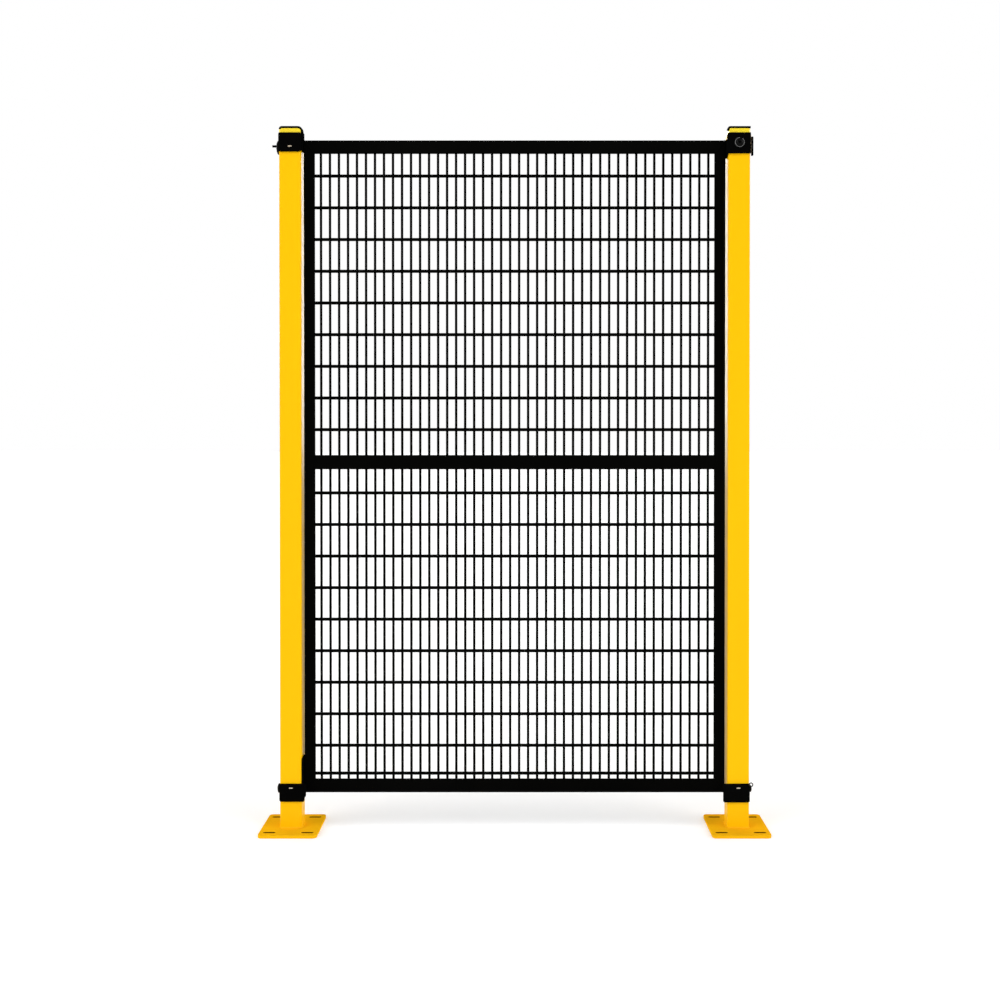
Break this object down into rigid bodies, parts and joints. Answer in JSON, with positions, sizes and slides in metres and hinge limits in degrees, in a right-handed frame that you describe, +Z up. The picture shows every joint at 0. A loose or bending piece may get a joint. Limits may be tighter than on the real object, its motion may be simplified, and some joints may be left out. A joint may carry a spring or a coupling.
{
  "type": "machine guard fence panel",
  "caption": "Black tube frame filled with welded wire mesh, clamped between two yellow square floor posts on slotted foot plates.",
  "frame": {"origin": "middle of the underside of the left foot plate", "axes": "+X along the fence to the right post, +Y to the back of the panel, +Z up; the front looks along -Y"},
  "size_m": [1.3912, 0.204, 1.935],
  "materials": {
    "post_yellow": "satin powder coat",
    "foot_yellow": "satin powder coat",
    "cap_yellow": "smooth moulded plastic",
    "frame_black": "satin powder coat",
    "mesh_black": "satin powder coat",
    "bracket_black": "satin powder coat",
    "fastener_black": "satin"
  },
  "bodies": {
    "root": {"left_post": "post_yellow", "right_post": "post_yellow", "left_foot_plate": "foot_yellow", "right_foot_plate": "foot_yellow", "left_foot_weld": "foot_yellow", "right_foot_weld": "foot_yellow", "left_cap": "cap_yellow", "right_cap": "cap_yellow", "left_stile": "frame_black", "right_stile": "frame_black", "top_rail": "frame_black", "mid_rail": "frame_black", "bottom_rail": "frame_black", "mesh_upper_left": "mesh_black", "mesh_upper_right": "mesh_black", "mesh_lower_left": "mesh_black", "mesh_lower_right": "mesh_black", "top_left_plate": "bracket_black", "top_left_strap": "bracket_black", "top_left_knob": "fastener_black", "top_left_bolt_tip": "fastener_black", "top_right_plate": "bracket_black", "top_right_strap": "bracket_black", "top_right_bolt": "fastener_black", "top_right_clamp": "bracket_black", "top_right_spacer": "fastener_black", "bottom_left_band": "bracket_black", "bottom_left_collar": "bracket_black", "bottom_left_tab": "bracket_black", "bottom_left_head": "fastener_black", "bottom_right_band": "bracket_black", "bottom_right_collar": "bracket_black", "bottom_right_head": "fastener_black", "bottom_right_ring": "fastener_black"}
  },
  "joints": []
}
